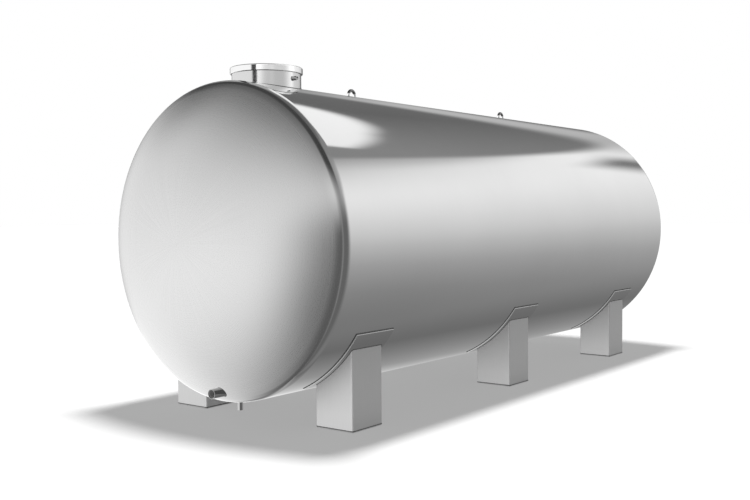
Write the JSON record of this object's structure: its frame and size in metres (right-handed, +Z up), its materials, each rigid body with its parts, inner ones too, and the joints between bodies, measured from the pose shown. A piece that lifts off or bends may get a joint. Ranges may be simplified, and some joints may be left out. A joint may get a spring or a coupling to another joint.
{
  "type": "bulk milk tank",
  "caption": "Horizontal insulated bulk milk tank with dished ends, hinged manway lid, lifting eyes, outlet pipe, drain plug and box-leg saddles.",
  "frame": {"origin": "on the floor, under the middle of the tank's box", "axes": "+Z up; Y along the tank, the outlet end at -Y; +X to the right for someone facing the outlet end"},
  "size_m": [1.9998, 5.497, 2.298],
  "materials": {
    "polished_jacket": "mirror-like polished stainless sheet, faintly streaked round the barrel",
    "brushed_head": "satin stainless, fine radial brushing",
    "vessel_steel": "2B mill finish stainless",
    "neck_steel": "satin stainless, brushed round the neck",
    "lid_steel": "bright satin stainless",
    "fitting_steel": "turned and bead-blasted stainless",
    "eye_steel": "polished stainless rod",
    "saddle_steel": "satin stainless plate, brushed upright",
    "insulation_foam": "rigid closed-cell polyurethane foam",
    "bearer_plastic": "dense moulded plastic",
    "gasket_rubber": "white food-grade rubber"
  },
  "bodies": {
    "tank": {"jacket_barrel": "polished_jacket", "jacket_front_head": "brushed_head", "jacket_rear_head": "brushed_head", "foam_barrel": "insulation_foam", "foam_front_head": "insulation_foam", "foam_rear_head": "insulation_foam", "vessel_barrel": "vessel_steel", "vessel_front_head": "vessel_steel", "vessel_rear_head": "vessel_steel", "manway_doubler": "vessel_steel", "manway_neck": "neck_steel", "vent_pipe": "fitting_steel", "hinge_lug_front": "fitting_steel", "hinge_lug_rear": "fitting_steel", "hinge_pin": "fitting_steel", "pin_washer": "fitting_steel", "split_pin": "fitting_steel", "outlet_pipe": "fitting_steel", "drain_nipple": "fitting_steel", "lifting_eye_front": "eye_steel", "eye_collars_front": "fitting_steel", "lifting_anchor_front": "vessel_steel", "lifting_eye_rear": "eye_steel", "eye_collars_rear": "fitting_steel", "lifting_anchor_rear": "vessel_steel", "saddle_pad_front": "saddle_steel", "foam_bearer_front": "bearer_plastic", "leg_front_left": "saddle_steel", "foot_plate_front_left": "saddle_steel", "leg_front_right": "saddle_steel", "foot_plate_front_right": "saddle_steel", "saddle_pad_middle": "saddle_steel", "foam_bearer_middle": "bearer_plastic", "leg_middle_left": "saddle_steel", "foot_plate_middle_left": "saddle_steel", "leg_middle_right": "saddle_steel", "foot_plate_middle_right": "saddle_steel", "saddle_pad_rear": "saddle_steel", "foam_bearer_rear": "bearer_plastic", "leg_rear_left": "saddle_steel", "foot_plate_rear_left": "saddle_steel", "leg_rear_right": "saddle_steel", "foot_plate_rear_right": "saddle_steel"},
    "lid": {"lid_cover": "lid_steel", "lid_gasket": "gasket_rubber", "lid_handle": "fitting_steel", "hinge_strap": "fitting_steel"},
    "plug": {"drain_plug": "fitting_steel", "plug_seal": "gasket_rubber"}
  },
  "joints": [
    {"name": "lid_hinge", "type": "hinge", "parent": "tank", "child": "lid", "pos_m": [-0.252, -1.963, 2.222], "axis": [0, -1, 0], "range_deg": [0, 110]},
    {"name": "drain_plug_slide", "type": "slide", "parent": "tank", "child": "plug", "axis": [0, 0, -1], "range_m": [0, 0.06]}
  ]
}
